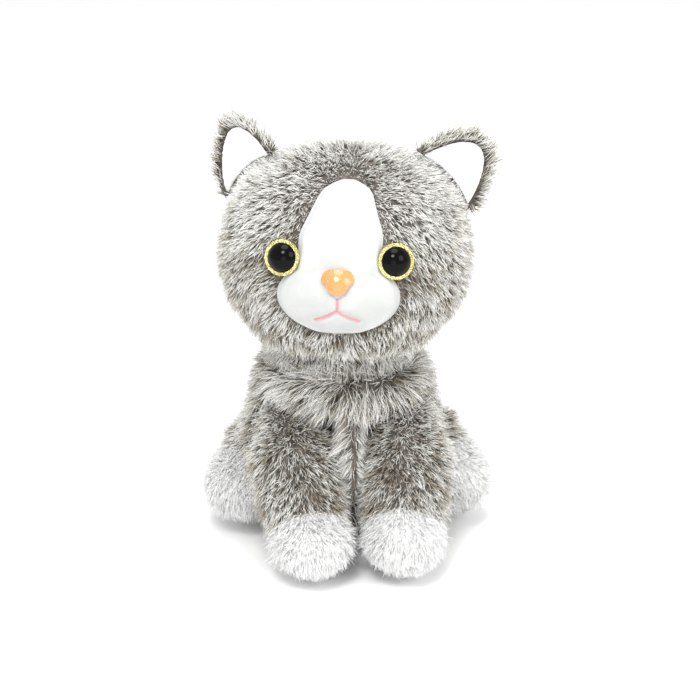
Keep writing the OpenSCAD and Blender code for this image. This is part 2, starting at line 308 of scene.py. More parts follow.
def fur_material(name, dark, cool, pale, brown_below, pale_above):
    """Strand colour from the strand's own UV: u is which strand it is, v runs from root to tip."""
    k = Nodes(name)
    uv = k.add("SeparateXYZ", {"Vector": k.add("UVMap", uv_map="OFBake").outputs[0]})
    u, v = uv.outputs[0], uv.outputs[1]
    rows = [[srgb(*c) for c in row] for row in (dark, cool, pale)]
    ramps = [k.ramp(v, list(zip(STRAND_STOPS, row))) for row in rows]
    colour = k.mix(k.range(u, brown_below - 0.08, brown_below + 0.08), ramps[0], ramps[1])
    colour = k.mix(k.range(u, pale_above - 0.08, pale_above + 0.08), colour, ramps[2])
    k.set(Base_Color=colour, Roughness=0.62)
    k.set(Sheen_Weight=0.15, Sheen_Roughness=0.5, Specular_IOR_Level=0.3)
    return k.m


def fabric_material(name, a, b, scale, bump_size, sheen=0.3):
    """Mottled cloth: colour between a and b, with a fine pile relief."""
    k = Nodes(name)
    k.set(
        Base_Color=k.mix(k.range(k.noise(scale, 5), 0.35, 0.65), srgb(*a), srgb(*b)),
        Roughness=k.rough(scale * 4, 2, 0.8, 0.95),
        Sheen_Weight=sheen,
        Sheen_Roughness=0.4,
    )
    k.bump(k.noise(bump_size, 3), 0.35, 0.0004)
    return k.m


grey_fur = fur_material(
    "grey_fur",
    [(62, 51, 40), (106, 91, 74), (158, 145, 124), (206, 197, 180)],
    [(98, 94, 84), (172, 169, 159), (230, 229, 222), (252, 252, 249)],
    [(150, 147, 138), (218, 216, 208), (247, 247, 243), (255, 255, 254)],
    0.26,
    0.6,
)
white_fur = fur_material(
    "white_fur",
    [(244, 244, 242), (248, 248, 247), (251, 251, 250), (252, 252, 251)],
    [(248, 248, 247), (251, 251, 250), (253, 253, 252), (254, 254, 254)],
    [(250, 250, 249), (253, 253, 252), (254, 254, 254), (255, 255, 255)],
    0.2,
    0.7,
)
# painted shade: the backing under the grey fur is painted dark and mottled, as the shade between
# its strands
grey_backing_painted_shade = fabric_material("grey_backing_painted_shade", (58, 50, 44), (118, 110, 103), 260, 1500)
white_backing = fabric_material("white_backing", (240, 240, 238), (250, 250, 249), 200, 1500)
# painted shade and light: the same white nap is painted darker than it looks on the face, which
# faces the key light, and lighter in the ears, which lie in shade
nap = fabric_material("white_nap", (188, 190, 188), (197, 198, 196), 120, 2600, sheen=0.1)
ear_nap = fabric_material("ear_nap", (222, 223, 221), (230, 231, 229), 120, 2600, sheen=0.1)
fibre = fabric_material("filling_fibre", (222, 221, 216), (244, 243, 240), 300, 900)

# ---- Skins: each body's closed form, its cover and its filling ----

# body: the filling whose outside is its form, its voxel in mm, how much deeper it lies in mm
FORMS = {
    "head": ("head_filling", 3.0, 1.2),
    "neck": ("neck_filling", 3.0, 1.2),
    "torso": ("torso_filling", 2.6, 0.2),
    "left_front_leg": ("left_front_leg_filling", 2.4, 1.2),
    "right_front_leg": ("right_front_leg_filling", 2.4, 1.2),
    "left_hind_leg": ("left_hind_leg_filling", 2.4, 1.2),
    "right_hind_leg": ("right_hind_leg_filling", 2.4, 1.2),
    "tail": ("tail_filling", 1.8, 1.2),
}
SWELL_FRAMES = 20
MOST_SWELL = 1.4 * MM
CHIN_NARROWING = 0.09  # the head's cover narrows this much, as a share, towards the neck
CLOTH_T = 1.0 * MM
SEAM_HOLD = 0.7  # how much less the seam of a paw or foot moves
FIBRE_DEPTH, FIBRE_LUMP = 1.5, 0.3  # how far inside its form the filling lies, and its lumps


def stuff(objects, held):
    """Blows each closed cover up a little, as its filling does, with the seams held."""
    before = {}
    for o in objects:
        before[o] = coords(o.data)
        group = o.vertex_groups.new(name="seams")
        for i, w in enumerate(held(o, before[o] / MM)):
            if w > 0:
                group.add([i], float(w), "REPLACE")
        s = o.modifiers.new("stuffing", "CLOTH").settings
        s.use_pressure = True
        s.uniform_pressure_force = 4
        s.effector_weights.gravity = 0
        s.quality = 4
        s.tension_stiffness = s.compression_stiffness = 8
        s.shear_stiffness = 4
        s.bending_stiffness = 0.3
        s.vertex_group_mass = "seams"
    for f in range(1, SWELL_FRAMES + 1):
        scene.frame_set(f)
    dg = bpy.context.evaluated_depsgraph_get()
    for o in objects:
        swollen = coords(o.evaluated_get(dg).data)
        o.modifiers.clear()
        move = swollen - before[o]
        far = np.linalg.norm(move, axis=1, keepdims=True)
        move *= np.minimum(1, MOST_SWELL / np.maximum(far, 1e-9))
        set_coords(o.data, before[o] + move)
    scene.frame_set(1)


def seam_weights(o, p):
    """How firmly each point is held, in mm: along the seams and where another part presses."""
    name = o.name.removeprefix("form_")
    w = np.zeros(len(p))
    if name == "head":
        w = np.maximum(w, 1 - smooth(np.linalg.norm(p - NECK, axis=1), 35, 41))
        q = unplaced(p, HEAD)
        w = np.maximum(w, np.where(q[:, 1] < 0, 1 - smooth(np.abs(edge_of_face(q)), 0, 3), 0))
    elif name == "neck":
        w += 1
    elif name == "torso":
        w = np.maximum(w, smooth(p[:, 2], 82, 86))
        w = np.maximum(w, 1 - smooth(p[:, 2], 3, 8))
        for side in (-1, 1):
            d = np.linalg.norm(p - leaned(SHOULDER, side), axis=1)
            w = np.maximum(w, 1 - smooth(d, 16, 24))
            d = np.linalg.norm(p - leaned(HIP, side), axis=1)
            w = np.maximum(w, 1 - smooth(d, 20, 25))
    elif name.endswith("front_leg"):
        side = 1 if name.startswith("left") else -1
        w = np.maximum(w, 1 - smooth(np.abs(in_paw(p, side) - 1), 0, 0.1) * SEAM_HOLD)
        w = np.maximum(w, 1 - smooth(np.linalg.norm(p - leaned(SHOULDER, side), axis=1), 14, 19))
    elif name.endswith("hind_leg"):
        side = 1 if name.startswith("left") else -1
        w = np.maximum(w, 1 - smooth(np.abs(in_foot(p, side) - 1), 0, 0.1) * SEAM_HOLD)
    return w


def in_paw(p, side):
    """Below 1 inside the paw's oval."""
    r, half = PAW_SIZE
    return np.linalg.norm((p - leaned(PAW, side)) / np.array([r, half, r]), axis=1)


def foot_matrix(side):
    return Matrix.Translation(Vector(leaned(FOOT, side))) @ rotation(z=side * FOOT_TURN)


def in_foot(p, side):
    """Below 1 inside the hind foot's oval."""
    r, half = FOOT_SIZE
    return np.linalg.norm(unplaced(p, foot_matrix(side)) / np.array([r, half, r]), axis=1)


BLAZE_TOP = BLAZE[0][1]
BLAZE_EASING = np.linspace(-3, 3, 7)  # the blaze's outline is averaged over these heights
BLAZE_ROUND = 5  # its tip is rounded over this height
FACE_PROUD = 1.5  # how far the white fabric reaches past the muzzle's oval
FACE_LOW = MUZZLE[2] - MUZZLE_R - FACE_PROUD


def face_half_width(z):
    """Half of the white face's width at each height, in the head's frame."""
    heights, halves = [b[1] for b in BLAZE[::-1]], [b[0] for b in BLAZE[::-1]]
    blaze = np.mean([np.interp(z + d, heights, halves) for d in BLAZE_EASING], axis=0)
    blaze = np.where((z < 0) | (z > BLAZE_TOP), 0, blaze)
    tip = np.clip(z - BLAZE_TOP + BLAZE_ROUND, 0, BLAZE_ROUND) / (BLAZE_ROUND + 0.2)
    blaze *= np.sqrt(np.clip(1 - tip**2, 0, 1))
    height = (z - MUZZLE[2]) / (MUZZLE_R + FACE_PROUD)
    oval = (MUZZLE_HALF_W + 0.5) * np.sqrt(np.clip(1 - height**2, 0, 1))
    return np.maximum(blaze, oval)


def face_middle(z):
    """The blaze leans to one side towards its tip."""
    return BLAZE_LEAN * np.clip(z / BLAZE_TOP, 0, 1) ** 2


def edge_of_face(q):
    """About how far outside the white face's outline a point is, in mm: below 0 inside."""
    w = face_half_width(q[:, 2])
    x = np.abs(q[:, 0] - face_middle(q[:, 2]))
    above = np.maximum(q[:, 2] - BLAZE_TOP, FACE_LOW - q[:, 2])
    return np.maximum(np.where(w > 0, x - w, x), above)


forms = {}
for body, (node, voxel, deeper) in FORMS.items():
    forms[body] = new_object("form_" + body, closed_form(node, voxel, deeper))
q = unplaced(coords(forms["head"].data) / MM, HEAD)
q[:, 0] *= 1 - CHIN_NARROWING * smooth(-q[:, 2], 8, 40)
set_coords(forms["head"].data, placed(q, HEAD) * MM)
stuff(list(forms.values()), seam_weights)


def everywhere(p):
    return np.full(len(p), True)


def part_of(mesh, keep):
    """The faces whose middle, in mm, keep says are wanted, as a new mesh."""
    bm = bmesh.new()
    bm.from_mesh(mesh)
    bm.faces.ensure_lookup_table()
    middle = np.array([f.calc_center_median() for f in bm.faces]) / MM
    wanted = keep(middle)
    bmesh.ops.delete(bm, geom=[f for f, w in zip(bm.faces, wanted) if not w], context="FACES")
    out = bpy.data.meshes.new("part")
    bm.to_mesh(out)
    bm.free()
    return out


def piece(name, mesh, material, body, node=None):
    """A piece of the object, which rides on a body and may stand for a CAD node."""
    mesh.materials.clear()
    mesh.materials.append(material)
    o = new_object(name, mesh)
    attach(o, body)
    if node:
        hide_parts(node)
    return o


def skin(body):
    """A body's closed form with one subdivision."""
    return applied(forms[body].data.copy(), ("SUBSURF", {"levels": 1}))


BACKINGS = {"grey_fur": grey_backing_painted_shade, "white_fur": white_backing}  # by the record's slot


def cover(name, form, keep, body, slot, node):
    """A sewn cover: the wanted part of a closed form, with a fabric's thickness inwards."""
    mesh = applied(part_of(form, keep), ("SOLIDIFY", {"thickness": CLOTH_T, "offset": -1}))
    mesh.shade_smooth()
    piece(name, mesh, BACKINGS[slot], body, node)


def stuffing(body):
    """The loose fibre inside: the same form a little smaller, and lumpy."""
    mesh = forms[body].data.copy()
    p = coords(mesh)
    lumps = waves(p / MM, 7, 5)[:, None]
    p = p - normals(mesh) * (FIBRE_DEPTH + FIBRE_LUMP * lumps) * MM
    if body == "torso":  # the wall between the front legs is too thin to hold fibre
        between = (np.abs(p[:, 0]) < 12 * MM) & (p[:, 2] < 76 * MM)
        p[between, 1] = np.maximum(p[between, 1], -22 * MM)
    set_coords(mesh, p)
    mesh.shade_smooth()
    piece(f"{body}_stuffing", mesh, fibre, body, f"{body}_filling")


# ---- Fur ----

STRAND_RINGS = np.array([0.0, 0.42, 0.76])  # shares of its length at which a strand has a ring
STRANDS_A_PIECE = 11500  # keeps each piece under 200,000 triangles
STRAND_WIDTH, STRAND_LAY = 0.46, 46  # mm at the root, and degrees from upright
CLUMP_MM, GATHER, MESS = 2.4, 0.5, 0.38  # the locks' size, how far they gather, and how untidy
FLOOR_NEAR, FLOOR_LEAST = 1.2, 0.25  # strands below the first height, in mm, bend over the second
DENSITY = 1.4  # strands a square mm
PATCH_SEED = 71
# no fur grows nearer than this to these middles, in mm, where another part sits
EYE_BARE, NECK_BARE, SHOULDER_BARE, HIP_BARE, TAIL_BARE = 7.2, 36.4, 17.2, 22.5, 12
SEAT_Z = 3  # below this, fur that points down would be sat on


def sampled(mesh, per_mm2, rng):
    """Random points on a mesh in mm, with the surface's smooth normal at each."""
    mesh.calc_loop_triangles()
    t = np.empty(len(mesh.loop_triangles) * 3, np.int32)
    mesh.loop_triangles.foreach_get("vertices", t)
    t = t.reshape(-1, 3)
    p, n = coords(mesh) / MM, normals(mesh)
    area = np.linalg.norm(np.cross(p[t[:, 1]] - p[t[:, 0]], p[t[:, 2]] - p[t[:, 0]]), axis=1) / 2
    count = int(area.sum() * per_mm2)
    pick = np.searchsorted(np.cumsum(area), rng.uniform(0, area.sum(), count))
    pick = np.minimum(pick, len(t) - 1)
    a, b = rng.uniform(size=count), rng.uniform(size=count)
    flip = a + b > 1
    a[flip], b[flip] = 1 - a[flip], 1 - b[flip]
    w = np.stack([1 - a - b, a, b], 1)[:, :, None]
    return (p[t[pick]] * w).sum(1), unit((n[t[pick]] * w).sum(1))


def strands(p, n, along, length, width, lay, u, rng):
    """Tapered, curved strands in mm from roots p: (verts, faces, sizes, uv per loop)."""
    count = len(p)
    along = unit(along - n * (along * n).sum(1, keepdims=True))
    along = unit(along + rng.normal(scale=MESS, size=p.shape))
    out, over = np.cos(lay)[:, None], np.sin(lay)[:, None]
    size = length[:, None]
    middle = p + size * (0.42 * n * (out + 0.25) + 0.36 * along * over)
    tip = p + size * (0.92 * n * out + 0.92 * along * over)
    tip += rng.normal(scale=0.1, size=p.shape) * size
    # strands lean together in small locks
    in_lock = 0.8 * CLUMP_MM**2 * count / max(area_guess(p), 1)
    locks = max(1, int(count / max(1.0, in_lock)))
    chosen = rng.choice(count, min(count, locks), replace=False)
    tree = KDTree(len(chosen))
    for i, c in enumerate(chosen):
        tree.insert(p[c], i)
    tree.balance()
    nearest = chosen[np.array([tree.find(q)[1] for q in p])]
    near = np.linalg.norm(p[nearest] - p, axis=1) < 1.6 * CLUMP_MM
    spread = (rng.uniform(0.35, 1.0, count) * near)[:, None] * GATHER
    tip += (tip[nearest] - tip) * spread
    middle += (middle[nearest] - middle) * spread * 0.45
    s = STRAND_RINGS[None, :, None]
    centre = (1 - s) ** 2 * p[:, None] + 2 * s * (1 - s) * middle[:, None] + s**2 * tip[:, None]
    heading = unit(2 * (1 - s) * (middle - p)[:, None] + 2 * s * (tip - middle)[:, None])
    side = unit(np.cross(heading, unit(rng.normal(size=p.shape))[:, None]))
    up = np.cross(heading, side)
    thick = width[:, None] * (1 - STRAND_RINGS[None] * 0.75) / 2
    ring = []
    for k in range(3):
        a = 2 * math.pi * k / 3
        ring.append(centre + thick[:, :, None] * (math.cos(a) * side + math.sin(a) * up))
    ring = np.stack(ring, 2).reshape(count, 9, 3)
    verts = np.concatenate([ring, tip[:, None]], 1).reshape(-1, 3)
    low = verts[:, 2] < FLOOR_NEAR
    bend = FLOOR_NEAR - FLOOR_LEAST
    verts[low, 2] = FLOOR_LEAST + bend * np.exp((verts[low, 2] - FLOOR_NEAR) / bend)
    # one strand: two bands of quads on rings of three, three faces to the tip and one at the root
    quads = [
        [r * 3 + k, r * 3 + (k + 1) % 3, r * 3 + 3 + (k + 1) % 3, r * 3 + 3 + k]
        for r in range(2)
        for k in range(3)
    ]
    ends = [[6 + k, 6 + (k + 1) % 3, 9] for k in range(3)] + [[2, 1, 0]]
    one = np.array([i for f in quads + ends for i in f], np.int32)
    sizes = np.array([4] * 6 + [3] * 4, np.int32)
    faces = (one[None] + 10 * np.arange(count, dtype=np.int32)[:, None]).ravel()
    height = np.array([0.02] * 3 + [STRAND_RINGS[1]] * 3 + [STRAND_RINGS[2]] * 3 + [0.98])
    turn = np.array([-1, 0, 1] * 3 + [0]) * 0.003
    uv = np.empty((count, len(one), 2), np.float32)
    uv[:, :, 0] = np.clip(u, 0.01, 0.99)[:, None] + turn[one][None]
    uv[:, :, 1] = height[one][None]
    return verts, faces, np.tile(sizes, count), uv.reshape(-1, 2)


def area_guess(p):
    """The area in mm2 that points cover, from how many 4 mm cells they fall in."""
    return 16.0 * len(np.unique(np.floor(p / 4).astype(int), axis=0)) * 0.75


FURS = {"grey_fur": grey_fur, "white_fur": white_fur}  # by the record's slot


def grow_fur(
    name, mesh, body, slot, wanted, flow, per_mm2, length, seed, lay=STRAND_LAY, pale=None
):
    """Fur over a mesh, length in mm.

    wanted(p, n) is a strand's share of the length, 0 for none, and flow(p, n) is the way it lies.
    pale(p) is added to how pale the strand is.
    """
    rng = np.random.default_rng(seed)
    p, n = sampled(mesh, per_mm2, rng)
    share = wanted(p, n)
    keep = share > 0.05
    p, n, share = p[keep], n[keep], share[keep]
    count = len(p)
    size = length * share * rng.uniform(0.75, 1.12, count)
    angle = np.radians(lay + rng.normal(scale=8, size=count) + 7 * waves(p, 9, seed + 3))
    along = flow(p, n) + 0.28 * np.stack([waves(p, 12, seed + 10 + i) for i in range(3)], 1)
    patch = 0.5 + 0.13 * waves(p, 16, PATCH_SEED) + 0.22 * waves(p, 3.6, PATCH_SEED + 1)
    if pale:
        patch += pale(p)
    u = np.clip(patch + rng.normal(scale=0.2, size=count), 0.01, 0.99)
    fat = STRAND_WIDTH * rng.uniform(0.7, 1.25, count) * np.clip(share + 0.25, 0.5, 1)
    order = np.argsort(p[:, 0] * 0.3 + p[:, 1] + p[:, 2] * 0.1)
    pieces = math.ceil(count / STRANDS_A_PIECE)
    for i, part in enumerate(np.array_split(order, pieces)):
        verts, faces, sizes, uv = strands(
            p[part] - n[part] * 0.3, n[part], along[part], size[part], fat[part],
            np.clip(angle[part], 0.2, 1.45), u[part], rng
        )
        fur = mesh_from(name, verts * MM, faces, sizes)
        layer = fur.uv_layers.new(name="OFBake")
        layer.data.foreach_set("uv", uv.ravel())
        piece(name if pieces == 1 else f"{name}_{i + 1}", fur, FURS[slot], body)


# ---- The head ----

FACE_BACK_Y = -25.5  # the white face's outline counts only in front of this
head_form = skin("head")


def is_face(p):
    q = unplaced(p, HEAD)
    return (edge_of_face(q) < 0) & (q[:, 1] < FACE_BACK_Y)


def eye_at(side):
    """Where the eye sits on the head's surface, in the head's frame."""
    r = HEAD_R * (1 - (EYE_X / HEAD_HALF_W) ** HEAD_CORNER) ** (1 / HEAD_CORNER)
    return np.array([side * EYE_X, -math.sqrt(r * r - EYE_Z**2), EYE_Z])


def head_wanted(p, n):
    """Short round the white face and the eyes, longer over the neck, none where they cover it."""
    q = unplaced(p, HEAD)
    share = np.ones(len(p))
    front = q[:, 1] < -20
    edge = edge_of_face(q)
    share = np.where(front, 0.42 + 0.58 * smooth(edge, -0.6, 6), share)
    share = np.where(front & (edge < -0.8), 0, share)
    share *= 1 - 0.25 * smooth(-q[:, 2], 12, 34)
    for side in (-1, 1):
        d = np.linalg.norm(q - eye_at(side), axis=1)
        share = np.where(d < EYE_BARE, 0, share * (0.5 + 0.5 * smooth(d, 7, 12)))
    from_neck = np.linalg.norm(p - NECK, axis=1)
    share *= 1 + 0.3 * (1 - smooth(from_neck, 40, 48))
    share = np.where(from_neck < NECK_BARE, 0, share)
    return share


def head_pale(p):
    """The forehead is paler than the cheeks."""
    return 0.42 * smooth(unplaced(p, HEAD)[:, 2], 2, 34) - 0.06


def head_flow(p, n):
    """From the crown down and outwards, and away from the white face near its edge."""
    q = unplaced(p, HEAD)
    crown = unit(q - np.array([0, 8, 46]))
    down = np.array([0, 0, -1.0])
    away = np.stack([q[:, 0], np.zeros(len(q)), q[:, 2] + 4], 1)
    near = (1 - smooth(edge_of_face(q), 2, 20)) * (q[:, 1] < -15)
    f = unit(0.9 * crown * np.array([1, 1, 0.6]) + 0.5 * down) + 0.55 * near[:, None] * unit(away)
    return turned(f, HEAD)


cover("head_cover_fabric", head_form, lambda p: ~is_face(p), "head", "grey_fur", "head_cover")
stuffing("head")
grow_fur(
    "head_fur", head_form, "head", "grey_fur", head_wanted, head_flow, DENSITY, 6.6,
    seed=11, pale=head_pale,
)


MUZZLE_BLEND = 3.0


def face_depth(x, z):
    """How far forward (-Y) the white face's surface is, in mm in the head's frame."""
    r = HEAD_R * np.clip(1 - (np.abs(x) / HEAD_HALF_W) ** HEAD_CORNER, 0, 1) ** (1 / HEAD_CORNER)
    skull = np.sqrt(np.clip(r * r - z * z, 0, None))
    mr = MUZZLE_R * np.sqrt(np.clip(1 - (x / MUZZLE_HALF_W) ** 2, 0, 1))
    inside = mr**2 - (z - MUZZLE[2]) ** 2
    bulge = np.where(inside > 0, -MUZZLE[1] + np.sqrt(np.clip(inside, 0, None)), -MUZZLE[1] - 8)
    h = np.clip(0.5 + 0.5 * (bulge - skull) / MUZZLE_BLEND, 0, 1)
    return skull + (bulge - skull) * h + MUZZLE_BLEND * h * (1 - h)


def line_distance(x, z, a, b):
    """How far points are from the line a to b, seen from the front."""
    a, b = np.array(a, float), np.array(b, float)
    v = b - a
    t = np.clip(((x - a[0]) * v[0] + (z - a[1]) * v[1]) / (v @ v), 0, 1)
    return np.hypot(x - a[0] - t * v[0], z - a[1] - t * v[1])


def face_surface(x, z):
    """Depth with the dents that the nose and the mouth stitches pull in."""
    d = face_depth(x, z)
    groove = line_distance(x, z, MOUTH_TOP, MOUTH_FORK)
    for side in (-1, 1):
        end = (side * MOUTH_END[0], MOUTH_END[1])
        groove = np.minimum(groove, line_distance(x, z, MOUTH_FORK, end))
    d = d - 0.9 * np.exp(-((groove / 1.6) ** 2))
    d = d - 0.5 * np.exp(-(((x / 9) ** 2 + ((z - NOSE_Z) / 7) ** 2) ** 2))
    return d


# the white face: a grid that follows its outline, closer at its top and bottom
NAP_PROUD = 0.25
rows, columns = 150, 90
z_lo, z_hi = FACE_LOW + 0.02, BLAZE_TOP
zs = z_lo + (z_hi - z_lo) * (0.5 - 0.5 * np.cos(np.linspace(0, math.pi, rows)))
zs = 0.35 * zs + 0.65 * np.linspace(z_lo, z_hi, rows)
half = face_half_width(zs)
cs = np.linspace(-1, 1, columns)
gx, gz = face_middle(zs)[:, None] + half[:, None] * cs[None], np.repeat(zs[:, None], columns, 1)
gy = face_surface(gx, gz)
rim = half[:, None] * (1 - np.abs(cs[None]))  # how far inside the outline, in mm
rim = np.minimum(rim, np.minimum(z_hi - gz + 0.3, (gz - z_lo) + 0.3))
gy = gy + NAP_PROUD - 2.2 * (1 - smooth(rim, 0, 2.4))  # the edge turns in under the fur
face_points = np.stack([gx, -gy, gz], 2).reshape(-1, 3)
face_points += 0.18 * waves(face_points, 7, 31)[:, None] * np.array([0, -1, 0])
i, j = np.meshgrid(np.arange(rows - 1), np.arange(columns - 1), indexing="ij")
a = (i * columns + j).ravel()
quads = np.stack([a, a + 1, a + columns + 1, a + columns], 1)
face_mesh = mesh_from("face", placed(face_points, HEAD) * MM, quads)
face_mesh = applied(face_mesh, ("SOLIDIFY", {"thickness": 0.9 * MM, "offset": -1}))
face_mesh.shade_smooth()
piece("face_panel_nap", face_mesh, nap, "head", "face_panel")

# ---- Mouth ----

FORWARD = np.array([0.0, 1.0, 0.0])

def across(p):
    """Two directions across a path at each of its points."""
    t = unit(np.gradient(p, axis=0))
    side = unit(FORWARD - t * (t @ FORWARD)[:, None])
    return side, np.cross(t, side)


def tube(points, radius, sides):
    """A round tube along points in mm, with closed ends: (verts, faces, sizes)."""
    p = np.asarray(points, float)
    side, up = across(p)
    a = np.linspace(0, 2 * math.pi, sides, endpoint=False)[None, :, None]
    ring = p[:, None] + radius * (np.cos(a) * side[:, None] + np.sin(a) * up[:, None])
    faces, sizes = [], []
    for i in range(len(p) - 1):
        for k in range(sides):
            k2 = (k + 1) % sides
            faces += [i * sides + k, i * sides + k2, (i + 1) * sides + k2, (i + 1) * sides + k]
            sizes.append(4)
    faces += list(range(sides))[::-1] + [(len(p) - 1) * sides + k for k in range(sides)]
    sizes += [sides, sides]
    return ring.reshape(-1, 3), np.array(faces), np.array(sizes)


def joined(parts):
    """Several (verts, faces, sizes) as one."""
    verts, faces, sizes, start = [], [], [], 0
    for v, f, s in parts:
        verts.append(v)
        faces.append(f + start)
        sizes.append(s)
        start += len(v)
    return np.concatenate(verts), np.concatenate(faces), np.concatenate(sizes)


PLIES, PLY_R, PLY_OUT, PLY_SIDES = 2, 0.3, 0.24, 7
THREAD_PROUD = 0.15


def twisted(p, turns):
    """A twisted thread along the path p in mm."""
    s = np.linspace(0, 1, len(p))
    side, up = across(p)
    parts = []
    for k in range(PLIES):
        a = (2 * math.pi * (turns * s + k / PLIES))[:, None]
        parts.append(tube(p + PLY_OUT * (np.cos(a) * side + np.sin(a) * up), PLY_R, PLY_SIDES))
    return joined(parts)


def on_face(x, z):
    return np.stack([x, -(face_surface(x, z) + NAP_PROUD + THREAD_PROUD), z], -1)


s = np.linspace(0, 1, 40)
z_line = MOUTH_TOP[1] + (MOUTH_FORK[1] - MOUTH_TOP[1]) * s
mouth = [twisted(on_face(0.25 * np.sin(s * 3), z_line), 4)]
for side in (-1, 1):
    bow = 0.54 * np.sin(math.pi * s)
    z_line = MOUTH_FORK[1] + (MOUTH_END[1] - MOUTH_FORK[1]) * s - bow
    mouth.append(twisted(on_face(side * MOUTH_END[0] * s, z_line), 8))
verts, faces, sizes = joined(mouth)
thread = Nodes("pink_thread")
thread.set(
    Base_Color=thread.mix(thread.noise(900, 3), srgb(222, 130, 142), srgb(240, 160, 168)),
    Roughness=thread.rough(1500, 2, 0.45, 0.7),
)
thread.bump(thread.noise(3000, 2), 0.4, 0.0002)
mouth_mesh = mesh_from("mouth", placed(verts, HEAD) * MM, faces, sizes)
piece("mouth_thread", mouth_mesh, thread.m, "head", "mouth_stitches")

# ---- The body ----


def torso_flow(p, n):
    """Down, and towards one side on the chest."""
    mid = np.stack([p[:, 0] - TORSO_MID[0], p[:, 1] - TORSO_MID[1], np.zeros(len(p))], 1)
    f = np.array([0, 0, -1.0]) + 0.25 * unit(mid)
    front = smooth(-p[:, 1], 5, 25) * smooth(p[:, 2], 30, 50)
    return f + front[:, None] * np.array([-0.55, 0, 0.1])


def torso_wanted(p, n):
    """Longer on the chest and under the head, shorter at the floor, none where parts meet."""
    share = np.ones(len(p))
    flat_top = (p[:, 2] > 84) & (np.hypot(p[:, 0] - TORSO_MID[0], p[:, 1] - TORSO_MID[1]) < 28)
    share = np.where(flat_top, 0, share)
    chest = smooth(-p[:, 1], 12, 24) * smooth(p[:, 2], 44, 60)
    share *= 1 + 0.7 * chest + 0.3 * smooth(p[:, 2], 74, 82)
    share *= 0.3 + 0.7 * smooth(p[:, 2], 2, 9)
    share = np.where((p[:, 2] < SEAT_Z) & (n[:, 2] < -0.8), 0, share)
    for side in (-1, 1):
        d = np.linalg.norm(p - leaned(SHOULDER, side), axis=1)
        share = np.where(d < SHOULDER_BARE, 0, share)
        share = np.where(in_paw(p, side) < 1.06, 0, share)
        share = np.where(np.linalg.norm(p - leaned(HIP, side), axis=1) < HIP_BARE, 0, share)
        share = np.where(in_foot(p, side) < 1.13, 0, share)
        # the flat sides beside the belly, where a leg rests
        x = (p[:, 0] - leaned((0, 0, 58), 1)[0]) * side
        bay = (n[:, 0] * side > 0.6) & (p[:, 1] < -10) & (p[:, 2] < 76) & (x > 0) & (x < 16)
        share = np.where(bay, 0.8, share)
    share = np.where(np.linalg.norm(p - TAIL, axis=1) < TAIL_BARE, 0, share)
    return share


def in_belly(p):
    """Inside the front panel's oval, on the front."""
    e = np.hypot((p[:, 0] - BELLY_AT[0]) / BELLY_HALF[0], (p[:, 2] - BELLY_AT[1]) / BELLY_HALF[1])
    return (e < 1) & (p[:, 1] < -24)


torso_form = skin("torso")
cover(
    "torso_cover_fabric", torso_form, lambda p: ~in_belly(p), "torso", "grey_fur", "torso_cover"
)
cover("belly_fabric", torso_form, in_belly, "torso", "grey_fur", "belly_panel")
stuffing("torso")
grow_fur(
    "torso_fur", torso_form, "torso", "grey_fur",
    lambda p, n: torso_wanted(p, n) * ~in_belly(p), torso_flow, DENSITY, 7.2, seed=21,
    pale=lambda p: 0.12 * smooth(-p[:, 1], 5, 20),
)
grow_fur(
    "belly_fur", torso_form, "torso", "grey_fur",
    lambda p, n: torso_wanted(p, n) * in_belly(p), torso_flow, DENSITY, 8.6, seed=22,
    pale=lambda p: 0.1,
)

neck_form = skin("neck")
cover("neck_fabric", neck_form, everywhere, "neck", "grey_fur", "neck_cover")
stuffing("neck")



def neck_flow(p, n):
    return np.stack([p[:, 0] - NECK[0], p[:, 1] - NECK[1], np.full(len(p), -25.0)], 1)


grow_fur(
    "neck_fur", neck_form, "neck", "grey_fur",
    lambda p, n: np.where((p[:, 2] > 88.5) & (p[:, 2] < 106), 0.9, 0), neck_flow, DENSITY, 9.0,
    seed=25,
)

# ---- Legs ----


def leg_flow(side):
    axis = unit((leaned(PAW, side) - leaned(SHOULDER, side))[None])[0]

    def flow(p, n):
        return np.array([0, 0.1, -0.35]) + axis

    return flow


def white_share(p, n, wanted):
    """A paw's or foot's fur: shorter near the floor, and none underneath."""
    share = np.where(wanted, 0.4 + 0.6 * smooth(p[:, 2], SEAT_Z, 20), 0)
    return share * np.where((p[:, 2] < SEAT_Z) & (n[:, 2] < -0.85), 0, 1)


WHITE_DENSITY, WHITE_LENGTH, WHITE_LAY = DENSITY * 1.2, 7.5, 50
LEG_LENGTH = 6.8
SIDES = ((1, "left"), (-1, "right"))

